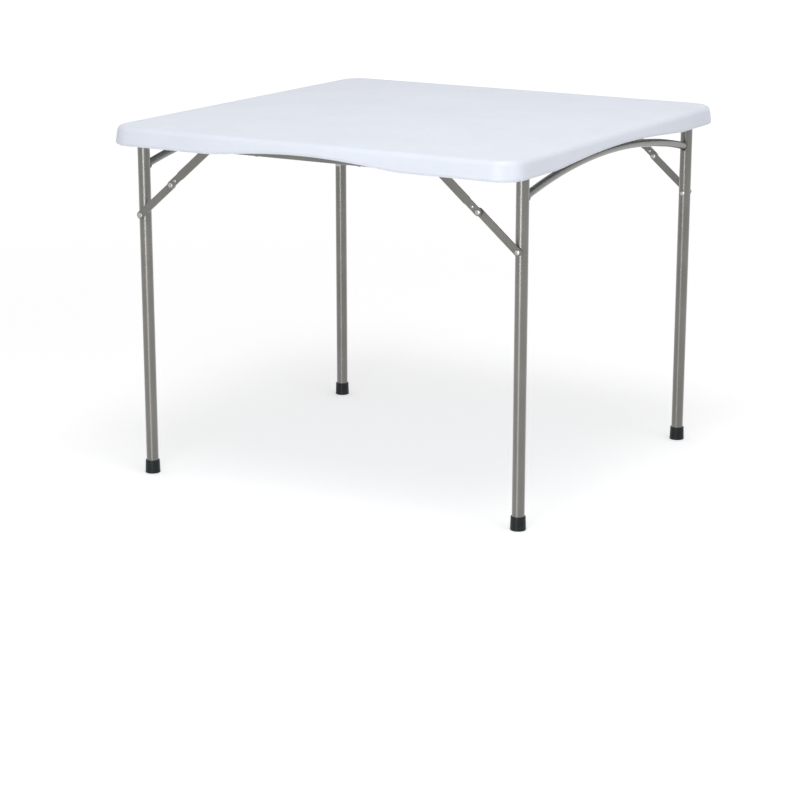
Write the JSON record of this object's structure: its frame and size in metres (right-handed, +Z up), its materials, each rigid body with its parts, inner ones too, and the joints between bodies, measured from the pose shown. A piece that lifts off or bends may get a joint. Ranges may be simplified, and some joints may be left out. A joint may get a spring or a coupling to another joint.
{
  "type": "folding card table",
  "caption": "Square folding card table: moulded plastic top on tubular steel legs that fold flat into its underside, held open by two-link braces.",
  "frame": {"origin": "on the floor below the centre of the top, at the bottom centre of the bounding box", "axes": "+Z up; X along the side rails, the way the legs fold; Y along the pivot tubes"},
  "size_m": [0.94, 0.94, 0.743],
  "materials": {
    "moulded_resin": "finely pebbled blow-moulded polyethylene",
    "frame_paint": "satin grey powder coat",
    "zinc": "bright zinc plate",
    "rubber": "matt black"
  },
  "bodies": {
    "top": {"table_top": "moulded_resin", "rail_left": "frame_paint", "rail_right": "frame_paint", "rail_screws": "frame_paint", "bracket_rivets": "zinc", "bracket_a_outer": "frame_paint", "bracket_a_inner": "frame_paint", "bracket_b_outer": "frame_paint", "bracket_b_inner": "frame_paint"},
    "leg_frame_a": {"pivot_tube_a": "frame_paint", "arched_brace_a": "frame_paint", "leg_rivets_a": "zinc", "leg_a_outer": "frame_paint", "foot_cap_a_outer": "rubber", "leg_a_inner": "frame_paint", "foot_cap_a_inner": "rubber"},
    "lower_link_a_outer": {"lower_link_a_outer": "frame_paint", "pivot_cap_a_outer": "zinc"},
    "upper_link_a_outer": {"upper_link_a_outer": "frame_paint", "pivot_stud_a_outer": "zinc", "stop_rivet_a_outer": "zinc"},
    "lower_link_a_inner": {"lower_link_a_inner": "frame_paint", "pivot_cap_a_inner": "zinc"},
    "upper_link_a_inner": {"upper_link_a_inner": "frame_paint", "pivot_stud_a_inner": "zinc", "stop_rivet_a_inner": "zinc"},
    "leg_frame_b": {"pivot_tube_b": "frame_paint", "arched_brace_b": "frame_paint", "leg_rivets_b": "zinc", "leg_b_outer": "frame_paint", "foot_cap_b_outer": "rubber", "leg_b_inner": "frame_paint", "foot_cap_b_inner": "rubber"},
    "lower_link_b_outer": {"lower_link_b_outer": "frame_paint", "pivot_cap_b_outer": "zinc"},
    "upper_link_b_outer": {"upper_link_b_outer": "frame_paint", "pivot_stud_b_outer": "zinc", "stop_rivet_b_outer": "zinc"},
    "lower_link_b_inner": {"lower_link_b_inner": "frame_paint", "pivot_cap_b_inner": "zinc"},
    "upper_link_b_inner": {"upper_link_b_inner": "frame_paint", "pivot_stud_b_inner": "zinc", "stop_rivet_b_inner": "zinc"}
  },
  "joints": [
    {"name": "leg_pair_a_fold", "type": "hinge", "parent": "top", "child": "leg_frame_a", "pos_m": [0.424, 0, 0.715], "axis": [0, 1, 0], "range_deg": [0, 90]},
    {"name": "lower_link_a_outer_turn", "type": "hinge", "parent": "leg_frame_a", "child": "lower_link_a_outer", "pos_m": [0.424, 0.42, 0.555], "axis": [0, 1, 0], "range_deg": [0, 49.91]},
    {"name": "upper_link_a_outer_turn", "type": "hinge", "parent": "top", "child": "upper_link_a_outer", "pos_m": [0.234, 0.4256, 0.715], "axis": [0, 1, 0], "range_deg": [-40.11, 0]},
    {"name": "lower_link_a_inner_turn", "type": "hinge", "parent": "leg_frame_a", "child": "lower_link_a_inner", "pos_m": [0.424, -0.366, 0.555], "axis": [0, 1, 0], "range_deg": [0, 49.91]},
    {"name": "upper_link_a_inner_turn", "type": "hinge", "parent": "top", "child": "upper_link_a_inner", "pos_m": [0.234, -0.3716, 0.715], "axis": [0, 1, 0], "range_deg": [-40.11, 0]},
    {"name": "leg_pair_b_fold", "type": "hinge", "parent": "top", "child": "leg_frame_b", "pos_m": [-0.424, 0, 0.715], "axis": [0, -1, 0], "range_deg": [0, 90]},
    {"name": "lower_link_b_outer_turn", "type": "hinge", "parent": "leg_frame_b", "child": "lower_link_b_outer", "pos_m": [-0.424, -0.42, 0.555], "axis": [0, -1, 0], "range_deg": [0, 49.91]},
    {"name": "upper_link_b_outer_turn", "type": "hinge", "parent": "top", "child": "upper_link_b_outer", "pos_m": [-0.234, -0.4256, 0.715], "axis": [0, -1, 0], "range_deg": [-40.11, 0]},
    {"name": "lower_link_b_inner_turn", "type": "hinge", "parent": "leg_frame_b", "child": "lower_link_b_inner", "pos_m": [-0.424, 0.366, 0.555], "axis": [0, -1, 0], "range_deg": [0, 49.91]},
    {"name": "upper_link_b_inner_turn", "type": "hinge", "parent": "top", "child": "upper_link_b_inner", "pos_m": [-0.234, 0.3716, 0.715], "axis": [0, -1, 0], "range_deg": [-40.11, 0]}
  ],
  "couplings": [
    {"joint": "lower_link_a_outer_turn", "follows": "leg_pair_a_fold", "ratio": 0.55443},
    {"joint": "upper_link_a_outer_turn", "follows": "leg_pair_a_fold", "ratio": -0.44557},
    {"joint": "lower_link_a_inner_turn", "follows": "leg_pair_a_fold", "ratio": 0.55443},
    {"joint": "upper_link_a_inner_turn", "follows": "leg_pair_a_fold", "ratio": -0.44557},
    {"joint": "lower_link_b_outer_turn", "follows": "leg_pair_b_fold", "ratio": 0.55443},
    {"joint": "upper_link_b_outer_turn", "follows": "leg_pair_b_fold", "ratio": -0.44557},
    {"joint": "lower_link_b_inner_turn", "follows": "leg_pair_b_fold", "ratio": 0.55443},
    {"joint": "upper_link_b_inner_turn", "follows": "leg_pair_b_fold", "ratio": -0.44557}
  ]
}
